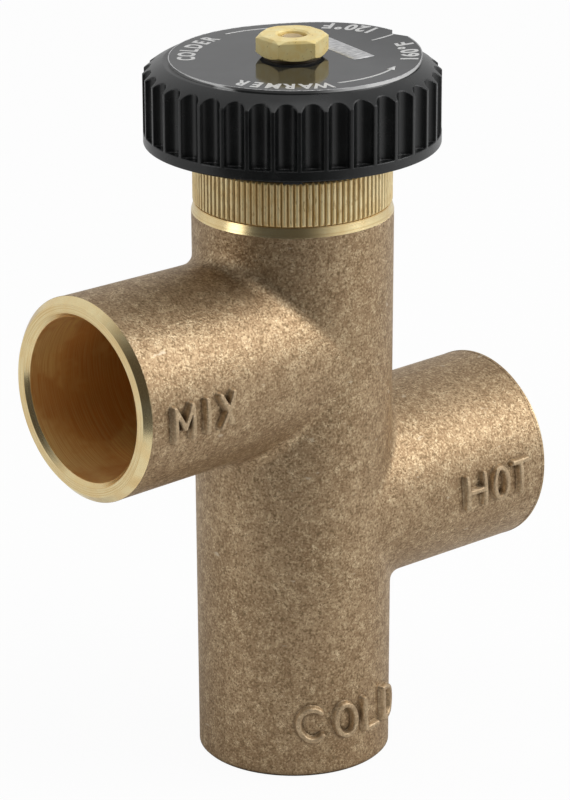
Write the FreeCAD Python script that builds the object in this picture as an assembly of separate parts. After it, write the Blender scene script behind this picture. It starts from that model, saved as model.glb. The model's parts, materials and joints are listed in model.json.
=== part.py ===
"""A thermostatic mixing valve with solder sockets for 3/4 in copper tube (22.2 mm outside).

One bronze casting carries three sockets: cold below, hot to the right (+X) and mixed water to the left
(-X), higher up. A knurled brass bonnet closes the top. A screwed spindle runs through it, and the knob on
the spindle sets the temperature. Turning the knob raises or lowers the spindle by its thread. The spindle
presses on the piston of a wax thermostat, whose body sits on a sliding shuttle. The shuttle's lower rim
throttles the hot water above the seat ring, and a disc on its stem throttles the cold water below the
ring, so that one opens while the other closes.

Units are millimetres. +Z is up along the column. The origin is the centre of the cold socket's mouth.
"""

import FreeCAD
import Part
import math
import os

# ---------------------------------------------------------------- driving sizes: casting
SOCKET_RADIUS = 11.2          # solder socket for 3/4 in copper tube
SOCKET_DEPTH = 19.0           # from the mouth to the tube stop
SOCKET_LEAD_IN = 0.3          # small chamfer inside each mouth
MOUTH_CHAMFER = 0.5           # machined chamfer outside the two branch mouths
FOOT_CHAMFER = 0.3            # edge broken outside the cold mouth
COLUMN_FOOT_RADIUS = 13.3     # outside of the column at the cold mouth
COLUMN_HEAD_RADIUS = 13.7     # outside of the column below the bonnet
MIX_MOUTH_RADIUS = 13.9       # outside of the mixed water branch at its mouth
HOT_MOUTH_RADIUS = 13.5       # outside of the hot branch at its mouth
BRANCH_STEP = 0.12            # how much slimmer than the column a branch is where it joins
MIX_REACH = 36.8              # column axis to the mixed water mouth
HOT_REACH = 35.5              # column axis to the hot mouth
BRANCH_FILLET = 2.4           # cast fillet where a branch meets the column
JOINT_REACH = 1.08            # a joint curve stays within this many branch radii of the axis
JOINT_BEND = 0.25             # and bends through at least this share of the radius
PASSAGE_RADIUS = 9.0          # waterway from a branch socket into the column
CHAMBER_RADIUS = 10.9         # hot and mixing chambers inside the column
COLD_PASSAGE_RADIUS = 9.8     # cold waterway above the tube stop
COLD_PASSAGE_HEIGHT = 3.5     # tube stop to the underside of the seat web
WEB_THICKNESS = 3.0           # cast web that carries the seat ring
WEB_TO_HOT_PASSAGE = 1.1      # web top to the lowest point of the hot waterway
LAND_MARGIN = 0.3             # waterways to the land between the chambers
LAND_LENGTH = 5.3             # land that the shuttle slides in
BODY_TOP_RISE = 20.0          # mixed water axis to the machined top face
TOP_CHAMFER_HEIGHT = 1.3      # machined chamfer below the top face
TOP_CHAMFER_DEPTH = 0.35

# ---------------------------------------------------------------- driving sizes: bonnet
BONNET_THREAD_RADIUS = 11.9   # screwed plug, thread drawn plain
BONNET_PLUG_LENGTH = 9.0
KNURL_RADIUS = 13.5           # tips of the straight knurl
KNURL_DEPTH = 0.32
KNURL_COUNT = 100
KNURL_CREST_SHARE = 0.42      # of the pitch, the flat crest of a rib
KNURL_ROOT_SHARE = 0.71       # of the pitch, where the groove is deepest
KNURL_END_CHAMFER = 0.3
FLANGE_HEIGHT = 6.2
NECK_RADIUS = 7.4
NECK_HEIGHT = 2.3
SPINDLE_THREAD_RADIUS = 6.0   # adjusting thread, drawn plain
THREAD_PITCH = 1.5            # axial travel for one turn of the knob
KNOB_SWING_DEG = 165.0        # from the middle of the scale to each stop
BONNET_THREAD_LENGTH = 3.6    # female adjusting thread
STOP_PIN_RADIUS = 1.25
STOP_PIN_CIRCLE_RADIUS = 10.2
STOP_PIN_STAND_OUT = 4.4
STOP_PIN_DEPTH = 3.0
STOP_PIN_ANGLE_DEG = 48.6

# ---------------------------------------------------------------- driving sizes: spindle and knob
SPINDLE_STEM_RADIUS = 4.7     # polished stem that the seals run on
DRIVE_FLATS = 6.4             # square drive across flats
STUD_RADIUS = 1.95            # stud for the knob nut, thread drawn plain
CUP_RADIUS = 8.0              # spring cup at the spindle's foot
CUP_WALL = 1.6
CUP_HEIGHT = 10.3
KNOB_RADIUS = 20.0
KNOB_RIM_GAP = 2.15           # bonnet flange to the knob's lower rim
KNOB_BAND_HEIGHT = 1.4        # plain band below the flutes
KNOB_SHOULDER_HEIGHT = 1.65   # drop of the rounded shoulder from top to side
KNOB_SHOULDER_CROWN = 0.12    # how far the shoulder bulges from a straight bevel
KNOB_HEIGHT = 10.95           # lower rim to the flat top
KNOB_TOP_RADIUS = 17.3        # edge of the flat top
KNOB_WALL = 2.3
KNOB_TOP_THICKNESS = 2.6
KNOB_HUB_RADIUS = 6.6
KNOB_RIB_THICKNESS = 1.2
KNOB_RIB_COUNT = 6
FLUTE_COUNT = 36
FLUTE_RADIUS = 1.55
FLUTE_DEPTH = 1.15
FLUTE_PHASE_DEG = 6.2
STOP_RIB_THICKNESS = 2.5
DIAL_RADIUS = 16.95
DIAL_THICKNESS = 0.45
DIAL_HOLE_SLACK = 0.5         # radial slack round the stud
DIAL_SHIFT = 0.4              # how far off centre the slack let it settle
DIAL_SHIFT_DEG = -41.4
DIAL_LIFT_DEG = -5.0          # the side where the dial springs up from the knob
DIAL_LIFT_RADIUS = 110.0      # bend radius of the sprung side
DIAL_FLAT_REACH = 4.6         # flat part beyond the centre before the bend
DIAL_NOTCH_DEPTH = 0.95       # V notch in the rim beside the zero mark
DIAL_NOTCH_FROM_DEG = -15.0
DIAL_NOTCH_TIP_DEG = -6.5
DIAL_NOTCH_TO_DEG = -2.5
HEXAGON_SIDES = 6
NUT_FLATS = 8.5               # number 8 machine screw nut
NUT_HEIGHT = 3.17
NUT_WASHER_FACE = 0.4         # height of the round washer face under the nut
NUT_BEVEL_HEIGHT = 0.38       # worn bevel along the top edge of each flat
NUT_BEVEL_WIDTH = 0.17
NUT_CORNER_CHAMFER = 0.45     # height of the turned chamfer at the corners
NUT_TURN_DEG = 27.1           # how far round the nut stopped when tightened
NUT_HOLE_CHAMFER = 0.25
STUD_BELOW_NUT_TOP = 0.3

# ---------------------------------------------------------------- driving sizes: seals and springs
STEM_SEAL_SECTION = 0.75      # section radius of the two spindle seals
STEM_SEAL_PITCH = 2.9
BONNET_SEAL_SECTION = 0.7
SHUTTLE_SEAL_SECTION = 0.6
SEAT_SEAL_SECTION = 0.5
RETAINING_RING_THICKNESS = 0.8
RETAINING_RING_GAP_DEG = 50.0
OVERLOAD_WIRE_RADIUS = 0.6
OVERLOAD_TURNS = 3.25
RETURN_WIRE_RADIUS = 0.45
RETURN_TURNS = 4.25
RETURN_SPRING_RADIUS = 3.7    # outside radius

# ---------------------------------------------------------------- driving sizes: seat, shuttle, thermostat
SEAT_FLANGE_RADIUS = 8.3
SEAT_FLANGE_HEIGHT = 2.0
SEAT_SKIRT_RADIUS = 7.2
SEAT_BORE_RADIUS = 5.4
SEAT_HUB_RADIUS = 2.6
SEAT_ARM_WIDTH = 1.4
SEAT_ARM_HEIGHT = 2.2
SPIDER_ARM_COUNT = 3
COLD_GAP = 0.85               # cold disc below its seat, in the middle setting, thermostat cold
HOT_GAP = 2.2                 # shuttle rim above its seat, in the same setting
SHUTTLE_RADIUS = 8.4
SHUTTLE_WALL = 1.2
SHUTTLE_GROOVE_WALL = 0.8     # metal left below the seal groove
SHUTTLE_RIM_WIDTH = 0.8
SHUTTLE_SPIDER_RISE = 3.0     # rim to the underside of the inner spider
SHUTTLE_SPIDER_HEIGHT = 2.4
SHUTTLE_HUB_RADIUS = 2.7
CROWN_WINDOW_HEIGHT = 4.6
CROWN_POST_WIDTH = 2.4
CROWN_RING_HEIGHT = 2.0
BULB_RADIUS = 4.8
BULB_LENGTH = 14.0
ELEMENT_FLANGE_RADIUS = 7.2
ELEMENT_FLANGE_HEIGHT = 2.2
GUIDE_RADIUS = 3.7
GUIDE_LENGTH = 5.2
PISTON_RADIUS = 1.9
PISTON_BURIED = 5.0           # length of the piston inside the guide
PUSHER_THICKNESS = 1.8
PUSHER_POCKET_DEPTH = 0.8
STEM_RADIUS = 1.5
COLD_DISC_RADIUS = 6.6
COLD_DISC_THICKNESS = 1.4
COLD_WASHER_THICKNESS = 0.7
STEM_HEAD_RADIUS = 2.4
STEM_HEAD_HEIGHT = 0.5

# ---------------------------------------------------------------- clearances
RUNNING = 0.05                # a shaft in its bore, on the radius
SLIDING = 0.1                 # guided pieces, on the radius
SEAL_RELIEF = 0.02            # a seal beside the wall that it presses on
LOOSE = 0.4                   # pieces that pass each other
TRAVEL_SPARE = 0.3            # left at the end of a travel

# ---------------------------------------------------------------- heights that follow from them
screw_travel = THREAD_PITCH * KNOB_SWING_DEG / 360.0

web_bottom_z = SOCKET_DEPTH + COLD_PASSAGE_HEIGHT
web_top_z = web_bottom_z + WEB_THICKNESS
hot_axis_z = web_top_z + WEB_TO_HOT_PASSAGE + PASSAGE_RADIUS
land_bottom_z = hot_axis_z + PASSAGE_RADIUS + LAND_MARGIN
land_top_z = land_bottom_z + LAND_LENGTH
mix_axis_z = land_top_z + LAND_MARGIN + PASSAGE_RADIUS
body_top_z = mix_axis_z + BODY_TOP_RISE
plug_bottom_z = body_top_z - BONNET_PLUG_LENGTH

flange_top_z = body_top_z + FLANGE_HEIGHT
neck_top_z = flange_top_z + NECK_HEIGHT
hub_bottom_z = neck_top_z + screw_travel + TRAVEL_SPARE
knob_rim_z = flange_top_z + KNOB_RIM_GAP
knob_top_z = knob_rim_z + KNOB_HEIGHT
dial_top_z = knob_top_z + DIAL_THICKNESS
nut_top_z = dial_top_z + NUT_HEIGHT
stud_top_z = nut_top_z - STUD_BELOW_NUT_TOP

seat_top_z = web_top_z + SEAT_FLANGE_HEIGHT
rim_z = seat_top_z + HOT_GAP
cold_washer_top_z = web_bottom_z - COLD_GAP
spider_bottom_z = rim_z + SHUTTLE_SPIDER_RISE
spider_top_z = spider_bottom_z + SHUTTLE_SPIDER_HEIGHT
crown_window_z = land_top_z + LOOSE
crown_ring_z = crown_window_z + CROWN_WINDOW_HEIGHT
shuttle_top_z = crown_ring_z + CROWN_RING_HEIGHT
element_flange_top_z = shuttle_top_z + ELEMENT_FLANGE_HEIGHT
guide_top_z = element_flange_top_z + GUIDE_LENGTH
cup_bottom_z = guide_top_z + screw_travel + TRAVEL_SPARE
retaining_ring_z = cup_bottom_z + CUP_WALL / 2
pusher_z = retaining_ring_z + RETAINING_RING_THICKNESS + SEAL_RELIEF
pusher_top_z = pusher_z + PUSHER_THICKNESS
piston_top_z = pusher_z + PUSHER_POCKET_DEPTH - SEAL_RELIEF
piston_bottom_z = guide_top_z - PISTON_BURIED
cup_top_z = cup_bottom_z + CUP_HEIGHT
cup_roof_z = cup_top_z - CUP_WALL
bonnet_cavity_top_z = cup_top_z + screw_travel + TRAVEL_SPARE
bonnet_thread_top_z = bonnet_cavity_top_z + BONNET_THREAD_LENGTH
spindle_thread_top_z = bonnet_thread_top_z - screw_travel - TRAVEL_SPARE
stem_seal_upper_z = neck_top_z - screw_travel - TRAVEL_SPARE - 2 * STEM_SEAL_SECTION
stem_seal_lower_z = stem_seal_upper_z - STEM_SEAL_PITCH
stop_pin_top_z = flange_top_z + STOP_PIN_STAND_OUT

cup_bore_radius = CUP_RADIUS - CUP_WALL
pusher_radius = cup_bore_radius - SLIDING
shuttle_bore_radius = SHUTTLE_RADIUS - SHUTTLE_WALL
land_radius = SHUTTLE_RADIUS + SLIDING
bonnet_cavity_radius = CUP_RADIUS + LOOSE
shuttle_groove_radius = shuttle_bore_radius - SHUTTLE_WALL + SHUTTLE_GROOVE_WALL


# ---------------------------------------------------------------- building helpers
def vec(x, y, z):
    return FreeCAD.Vector(x, y, z)


def cylinder(radius, low, high):
    """A solid cylinder about Z."""
    return Part.makeCylinder(radius, high - low, vec(0, 0, low))


def ring(outer, inner, low, high):
    return cylinder(outer, low, high).cut(cylinder(inner, low, high))


def turned(profile):
    """A solid turned about Z from (radius, height) corners in order round its section."""
    corners = [vec(radius, 0, height) for radius, height in profile]
    face = Part.Face(Part.makePolygon(corners + corners[:1]))
    return face.revolve(vec(0, 0, 0), vec(0, 0, 1), 360)


def seal(inner_radius, section, height):
    """An O-ring that sits on a groove floor of the given radius."""
    return Part.makeTorus(inner_radius + section + SEAL_RELIEF, section, vec(0, 0, height))


def groove(floor_radius, wall_radius, section, height):
    """The ring of space cut for an O-ring, wider than its section."""
    half = section + 2 * SEAL_RELIEF
    return ring(wall_radius, floor_radius, height - half, height + half)


def spun(shape, angle_deg):
    copy = shape.copy()
    copy.rotate(vec(0, 0, 0), vec(0, 0, 1), angle_deg)
    return copy


def around(shape, count, first_deg=0.0):
    """Copies of a shape, evenly spaced about Z."""
    return [spun(shape, first_deg + 360.0 * i / count) for i in range(count)]


def bar(length_from, length_to, width, low, high):
    """A straight bar along +X, centred on Y."""
    return Part.makeBox(length_to - length_from, width, high - low, vec(length_from, -width / 2, low))


def hexagon_corner(flats):
    """The distance from the middle to a corner, from the size across flats."""
    return flats / (2 * math.cos(math.pi / HEXAGON_SIDES))


def hexagon(flats, height):
    """The outline of a hexagon, as a closed wire."""
    corner = hexagon_corner(flats)
    angles = [2 * math.pi * i / HEXAGON_SIDES for i in range(HEXAGON_SIDES + 1)]
    return Part.makePolygon(
        [vec(corner * math.cos(angle), corner * math.sin(angle), height) for angle in angles]
    )


def coil_spring(mean_radius, wire_radius, low, high, turns):
    """A spring of round wire whose end coils are ground flat at low and high."""
    pitch = (high - low - wire_radius) / turns
    helix = Part.makeHelix(pitch, pitch * turns, mean_radius)
    helix.translate(vec(0, 0, low + wire_radius / 2))
    start = vec(mean_radius, 0, low + wire_radius / 2)
    tangent = vec(0, 2 * math.pi * mean_radius, pitch)
    section = Part.Wire(Part.Circle(start, tangent, wire_radius).toShape())
    wire = Part.Wire(helix).makePipeShell([section], True, True)
    outside = mean_radius + 2 * wire_radius
    return wire.common(cylinder(outside, low, high))


# ---------------------------------------------------------------- casting
def column_radius(height):
    """The column's outside, which swells evenly from its foot to the top face."""
    return COLUMN_FOOT_RADIUS + (COLUMN_HEAD_RADIUS - COLUMN_FOOT_RADIUS) * height / body_top_z


def branch(axis_z, reach, mouth_radius, side):
    """A branch of the casting along X, side being +1 or -1, with its mouth chamfered."""
    root_radius = column_radius(axis_z) - BRANCH_STEP
    direction = vec(side, 0, 0)
    body = Part.makeCone(root_radius, mouth_radius, reach - MOUTH_CHAMFER, vec(0, 0, axis_z), direction)
    mouth = Part.makeCone(
        mouth_radius,
        mouth_radius - MOUTH_CHAMFER,
        MOUTH_CHAMFER,
        vec(side * (reach - MOUTH_CHAMFER), 0, axis_z),
        direction,
    )
    return body.fuse(mouth)


def branch_waterway(axis_z, reach, side):
    """Socket, tube stop and waterway of a branch, to cut from the casting."""
    inward = vec(-side, 0, 0)
    mouth = vec(side * reach, 0, axis_z)
    lead_in = Part.makeCone(
        SOCKET_RADIUS + SOCKET_LEAD_IN, SOCKET_RADIUS, SOCKET_LEAD_IN, mouth, inward
    )
    socket = Part.makeCylinder(SOCKET_RADIUS, SOCKET_DEPTH, mouth, inward)
    waterway = Part.makeCylinder(PASSAGE_RADIUS, reach, mouth, inward)
    return [lead_in, socket, waterway]


def is_branch_joint(edge, axis_z, side, mouth_radius):
    """True for the curve where a branch meets the column."""
    box = edge.BoundBox
    on_its_side = side * box.XMin > -mouth_radius and side * box.XMax > 0
    near_column = max(abs(box.XMin), abs(box.XMax)) < JOINT_REACH * mouth_radius
    bent = box.XLength > JOINT_BEND * mouth_radius
    return on_its_side and near_column and bent and abs(box.Center.z - axis_z) < mouth_radius


def valve_body():
    column = turned(
        [
            (0, 0),
            (COLUMN_FOOT_RADIUS - FOOT_CHAMFER, 0),
            (COLUMN_FOOT_RADIUS, FOOT_CHAMFER),
            (column_radius(body_top_z - TOP_CHAMFER_HEIGHT), body_top_z - TOP_CHAMFER_HEIGHT),
            (COLUMN_HEAD_RADIUS - TOP_CHAMFER_DEPTH, body_top_z),
            (0, body_top_z),
        ]
    )
    casting = column.fuse(
        [
            branch(mix_axis_z, MIX_REACH, MIX_MOUTH_RADIUS, -1),
            branch(hot_axis_z, HOT_REACH, HOT_MOUTH_RADIUS, 1),
        ]
    ).removeSplitter()
    joints = [
        edge
        for edge in casting.Edges
        if is_branch_joint(edge, mix_axis_z, -1, MIX_MOUTH_RADIUS)
        or is_branch_joint(edge, hot_axis_z, 1, HOT_MOUTH_RADIUS)
    ]
    casting = casting.makeFillet(BRANCH_FILLET, joints)

    thread_bore = BONNET_THREAD_RADIUS + SLIDING
    inside = turned(
        [
            (0, 0),
            (SOCKET_RADIUS + SOCKET_LEAD_IN, 0),
            (SOCKET_RADIUS, SOCKET_LEAD_IN),
            (SOCKET_RADIUS, SOCKET_DEPTH),
            (COLD_PASSAGE_RADIUS, SOCKET_DEPTH),
            (COLD_PASSAGE_RADIUS, web_bottom_z),
            (SEAT_SKIRT_RADIUS + SLIDING, web_bottom_z),
            (SEAT_SKIRT_RADIUS + SLIDING, web_top_z),
            (CHAMBER_RADIUS, web_top_z),
            (CHAMBER_RADIUS, land_bottom_z),
            (land_radius, land_bottom_z),
            (land_radius, land_top_z),
            (CHAMBER_RADIUS, land_top_z),
            (CHAMBER_RADIUS, plug_bottom_z - LOOSE),
            (thread_bore, plug_bottom_z - LOOSE),
            (thread_bore, body_top_z),
            (0, body_top_z),
        ]
    )
    waterways = branch_waterway(mix_axis_z, MIX_REACH, -1) + branch_waterway(hot_axis_z, HOT_REACH, 1)
    return casting.cut([inside] + waterways)


# ---------------------------------------------------------------- bonnet
def knurled_band(radius, depth, count, low, high, chamfer):
    """A straight-knurled disc with its ends chamfered."""
    corners = []
    for i in range(count):
        for share, reach in ((0.0, radius), (KNURL_CREST_SHARE, radius), (KNURL_ROOT_SHARE, radius - depth)):
            angle = 2 * math.pi * (i + share) / count
            corners.append(vec(reach * math.cos(angle), reach * math.sin(angle), low))
    prism = Part.Face(Part.makePolygon(corners + corners[:1])).extrude(vec(0, 0, high - low))
    envelope = turned(
        [
            (0, low),
            (radius - chamfer, low),
            (radius, low + chamfer),
            (radius, high - chamfer),
            (radius - chamfer, high),
            (0, high),
        ]
    )
    return prism.common(envelope)


def bonnet():
    flange = knurled_band(
        KNURL_RADIUS, KNURL_DEPTH, KNURL_COUNT, body_top_z, flange_top_z, KNURL_END_CHAMFER
    )
    plug = cylinder(BONNET_THREAD_RADIUS, plug_bottom_z, body_top_z)
    neck = cylinder(NECK_RADIUS, flange_top_z, neck_top_z)
    solid = flange.fuse([plug, neck])
    seal_floor = BONNET_THREAD_RADIUS - 2 * BONNET_SEAL_SECTION
    bores = [
        cylinder(bonnet_cavity_radius, plug_bottom_z, bonnet_cavity_top_z),
        cylinder(SPINDLE_THREAD_RADIUS + RUNNING, bonnet_cavity_top_z, bonnet_thread_top_z),
        cylinder(SPINDLE_STEM_RADIUS + RUNNING, bonnet_thread_top_z, neck_top_z),
        groove(seal_floor, BONNET_THREAD_RADIUS + LOOSE, BONNET_SEAL_SECTION, bonnet_seal_height()),
        stop_pin_solid(0.0),
    ]
    return solid.cut(bores)


def bonnet_seal_height():
    """The seal sits in the plug, just under the flange."""
    return body_top_z - 2.5 * BONNET_SEAL_SECTION


def bonnet_seal():
    return seal(
        BONNET_THREAD_RADIUS - 2 * BONNET_SEAL_SECTION, BONNET_SEAL_SECTION, bonnet_seal_height()
    )


def stop_pin_solid(relief):
    """The pin that the knob's stop rib meets, standing in the flange."""
    pin = cylinder(STOP_PIN_RADIUS - relief, flange_top_z - STOP_PIN_DEPTH + relief, stop_pin_top_z)
    pin.translate(vec(STOP_PIN_CIRCLE_RADIUS, 0, 0))
    return spun(pin, STOP_PIN_ANGLE_DEG)


def stop_pin():
    return stop_pin_solid(SEAL_RELIEF)


# ---------------------------------------------------------------- spindle, its seals and spring
def spindle():
    square_top = knob_top_z - LOOSE
    body = turned(
        [
            (0, cup_bottom_z),
            (CUP_RADIUS, cup_bottom_z),
            (CUP_RADIUS, cup_top_z),
            (SPINDLE_THREAD_RADIUS, cup_top_z),
            (SPINDLE_THREAD_RADIUS, spindle_thread_top_z),
            (SPINDLE_STEM_RADIUS, spindle_thread_top_z),
            (SPINDLE_STEM_RADIUS, hub_bottom_z),
            (0, hub_bottom_z),
        ]
    )
    square = Part.makeBox(
        DRIVE_FLATS,
        DRIVE_FLATS,
        square_top - hub_bottom_z,
        vec(-DRIVE_FLATS / 2, -DRIVE_FLATS / 2, hub_bottom_z),
    )
    square = square.common(cylinder(SPINDLE_STEM_RADIUS - SLIDING, hub_bottom_z, square_top))
    stud = turned(
        [
            (0, square_top),
            (STUD_RADIUS, square_top),
            (STUD_RADIUS, stud_top_z - STUD_BELOW_NUT_TOP),
            (STUD_RADIUS * 0.6, stud_top_z),
            (0, stud_top_z),
        ]
    )
    solid = body.fuse([square, stud])
    ring_seat = ring(
        cup_bore_radius + CUP_WALL / 2,
        cup_bore_radius - LOOSE,
        retaining_ring_z - SEAL_RELIEF,
        retaining_ring_z + RETAINING_RING_THICKNESS + SEAL_RELIEF,
    )
    cuts = [cylinder(cup_bore_radius, cup_bottom_z, cup_roof_z), ring_seat]
    for height in (stem_seal_lower_z, stem_seal_upper_z):
        cuts.append(
            groove(stem_groove_radius(), SPINDLE_STEM_RADIUS + LOOSE, STEM_SEAL_SECTION, height)
        )
    return solid.cut(cuts)


def stem_groove_radius():
    return SPINDLE_STEM_RADIUS + RUNNING - 2 * STEM_SEAL_SECTION - 2 * SEAL_RELIEF


def spindle_seal(height):
    return seal(stem_groove_radius(), STEM_SEAL_SECTION, height)


def retaining_ring():
    """An open ring sprung into the cup's groove, under the pusher."""
    outer = cup_bore_radius + CUP_WALL / 2 - SEAL_RELIEF
    inner = cup_bore_radius - CUP_WALL / 2
    solid = ring(outer, inner, retaining_ring_z, retaining_ring_z + RETAINING_RING_THICKNESS)
    half_gap = math.radians(RETAINING_RING_GAP_DEG / 2)
    reach = 2 * outer
    corners = [
        vec(0, 0, cup_bottom_z),
        vec(reach * math.cos(half_gap), -reach * math.sin(half_gap), cup_bottom_z),
        vec(reach * math.cos(half_gap), reach * math.sin(half_gap), cup_bottom_z),
    ]
    wedge = Part.Face(Part.makePolygon(corners + corners[:1])).extrude(vec(0, 0, CUP_HEIGHT))
    return solid.cut(wedge)


def overload_spring():
    mean_radius = cup_bore_radius - SLIDING - OVERLOAD_WIRE_RADIUS - SLIDING
    return coil_spring(
        mean_radius,
        OVERLOAD_WIRE_RADIUS,
        pusher_top_z + SEAL_RELIEF,
        cup_roof_z - SEAL_RELIEF,
        OVERLOAD_TURNS,
    )


def pusher():
    """The button under the overload spring. The piston's tip sits in its pocket."""
    solid = cylinder(pusher_radius, pusher_z, pusher_top_z)
    return solid.cut(cylinder(PISTON_RADIUS + SLIDING, pusher_z, pusher_z + PUSHER_POCKET_DEPTH))


# ---------------------------------------------------------------- knob, dial and nut
def knob_shell():
    """The moulded cap: plain side, rounded shoulder, flat top and hollow underside."""
    start = vec(KNOB_TOP_RADIUS, 0, knob_top_z)
    end = vec(KNOB_RADIUS, 0, knob_top_z - KNOB_SHOULDER_HEIGHT)
    chord = end - start
    outward = vec(-chord.z, 0, chord.x).normalize()
    crown = start + chord * 0.5 + outward * KNOB_SHOULDER_CROWN
    shoulder = Part.Arc(start, crown, end).toShape()
    corners = [
        end,
        vec(KNOB_RADIUS, 0, knob_rim_z),
        vec(KNOB_RADIUS - KNOB_WALL, 0, knob_rim_z),
        vec(KNOB_RADIUS - KNOB_WALL, 0, knob_top_z - KNOB_TOP_THICKNESS),
        vec(0, 0, knob_top_z - KNOB_TOP_THICKNESS),
        vec(0, 0, knob_top_z),
        start,
    ]
    outline = Part.Wire([shoulder] + Part.makePolygon(corners).Edges)
    return Part.Face(outline).revolve(vec(0, 0, 0), vec(0, 0, 1), 360)


def flute_cutters():
    """Round cutters that run out in the shoulder as arches."""
    centre = KNOB_RADIUS - FLUTE_DEPTH + FLUTE_RADIUS
    low = knob_rim_z + KNOB_BAND_HEIGHT
    cutter = Part.makeCylinder(FLUTE_RADIUS, knob_top_z - low, vec(centre, 0, low))
    return around(cutter, FLUTE_COUNT, FLUTE_PHASE_DEG)


def knob():
    roof_z = knob_top_z - KNOB_TOP_THICKNESS
    bore_radius = KNOB_RADIUS - KNOB_WALL
    hub = cylinder(KNOB_HUB_RADIUS, hub_bottom_z, roof_z)
    rib_bottom_z = stop_pin_top_z + screw_travel + TRAVEL_SPARE
    rib = bar(KNOB_HUB_RADIUS - LOOSE, bore_radius + LOOSE, KNOB_RIB_THICKNESS, rib_bottom_z, roof_z)
    stop_rib = bar(
        NECK_RADIUS + LOOSE,
        bore_radius + LOOSE,
        STOP_RIB_THICKNESS,
        flange_top_z + screw_travel + 2 * TRAVEL_SPARE,
        roof_z,
    )
    solid = knob_shell().fuse(
        [hub, spun(stop_rib, STOP_PIN_ANGLE_DEG + 180.0)] + around(rib, KNOB_RIB_COUNT)
    )
    half = DRIVE_FLATS / 2 + RUNNING
    square = Part.makeBox(2 * half, 2 * half, knob_top_z - hub_bottom_z, vec(-half, -half, hub_bottom_z))
    square = square.common(cylinder(SPINDLE_STEM_RADIUS - RUNNING, hub_bottom_z, knob_top_z))
    return solid.cut(flute_cutters() + [square])


def polar(radius, angle_deg, height):
    angle = math.radians(angle_deg)
    return vec(radius * math.cos(angle), radius * math.sin(angle), height)


def bent_line(height):
    """Points along the dial's section at a height in its thickness: flat, then bending upward."""
    centre_z = knob_top_z + DIAL_LIFT_RADIUS
    radius = centre_z - height
    bend_end = math.asin(DIAL_RADIUS / DIAL_LIFT_RADIUS)
    return [
        vec(DIAL_FLAT_REACH + radius * math.sin(turn), -2 * DIAL_RADIUS, centre_z - radius * math.cos(turn))
        for turn in (0.0, bend_end / 2, bend_end)
    ]


def dial_strip():
    """A strip wider than the dial, flat on the knob and sprung up along one side."""
    low = knob_top_z + SEAL_RELIEF
    high = knob_top_z + DIAL_THICKNESS
    lower = bent_line(low)
    upper = bent_line(high)
    back_low = vec(-2 * DIAL_RADIUS, -2 * DIAL_RADIUS, low)
    back_high = vec(-2 * DIAL_RADIUS, -2 * DIAL_RADIUS, high)
    outline = Part.Wire(
        [
            Part.LineSegment(back_low, lower[0]).toShape(),
            Part.Arc(*lower).toShape(),
            Part.LineSegment(lower[-1], upper[-1]).toShape(),
            Part.Arc(*upper).toShape(),
            Part.LineSegment(upper[0], back_high).toShape(),
            Part.LineSegment(back_high, back_low).toShape(),
        ]
    )
    return spun(Part.Face(outline).extrude(vec(0, 4 * DIAL_RADIUS, 0)), DIAL_LIFT_DEG)


def dial_plate():
    """The thin printed disc, a little off centre, with a V notch beside its zero mark."""
    low = knob_top_z - DIAL_THICKNESS
    high = knob_top_z + DIAL_RADIUS
    notch = [
        polar(DIAL_RADIUS + DIAL_NOTCH_DEPTH, DIAL_NOTCH_FROM_DEG, low),
        polar(DIAL_RADIUS, DIAL_NOTCH_FROM_DEG, low),
        polar(DIAL_RADIUS - DIAL_NOTCH_DEPTH, DIAL_NOTCH_TIP_DEG, low),
        polar(DIAL_RADIUS, DIAL_NOTCH_TO_DEG, low),
        polar(DIAL_RADIUS + DIAL_NOTCH_DEPTH, DIAL_NOTCH_TO_DEG, low),
    ]
    wedge = Part.Face(Part.makePolygon(notch + notch[:1])).extrude(vec(0, 0, high - low))
    disc = ring(DIAL_RADIUS, STUD_RADIUS + DIAL_HOLE_SLACK, low, high).cut(wedge)
    disc.translate(polar(DIAL_SHIFT, DIAL_SHIFT_DEG, 0))
    return dial_strip().common(disc)


def knob_nut():
    """A hexagon nut on a round washer face, its corners turned off and its top edge bevelled."""
    low = dial_top_z
    hexagon_low = low + NUT_WASHER_FACE
    bevel_low = nut_top_z - NUT_BEVEL_HEIGHT
    corner = hexagon_corner(NUT_FLATS)
    face_radius = NUT_FLATS / 2
    envelope = turned(
        [
            (0, low),
            (face_radius - NUT_WASHER_FACE, low),
            (face_radius - NUT_WASHER_FACE, hexagon_low),
            (face_radius, hexagon_low),
            (corner, hexagon_low + NUT_CORNER_CHAMFER),
            (corner, nut_top_z - NUT_CORNER_CHAMFER),
            (face_radius, nut_top_z),
            (0, nut_top_z),
        ]
    )
    bevel = Part.makeLoft(
        [hexagon(NUT_FLATS, bevel_low), hexagon(NUT_FLATS - 2 * NUT_BEVEL_WIDTH, nut_top_z)], True, True
    )
    sides = Part.Face(hexagon(NUT_FLATS, low)).extrude(vec(0, 0, bevel_low - low))
    bore = STUD_RADIUS + RUNNING
    hole = turned(
        [
            (0, low),
            (bore, low),
            (bore, nut_top_z - NUT_HOLE_CHAMFER),
            (bore + NUT_HOLE_CHAMFER, nut_top_z),
            (0, nut_top_z),
        ]
    )
    return spun(sides.fuse(bevel), NUT_TURN_DEG).common(envelope).cut(hole)


# ---------------------------------------------------------------- seat ring, shuttle and thermostat
def spider(hub_radius, hub_bore, rim_radius, arm_width, low, high):
    """A hub held by arms, to fuse inside a ring."""
    arms = around(bar(0, rim_radius, arm_width, low, high), SPIDER_ARM_COUNT)
    solid = cylinder(hub_radius, low, high).fuse(arms)
    return solid.cut(cylinder(hub_bore, low, high))


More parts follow.
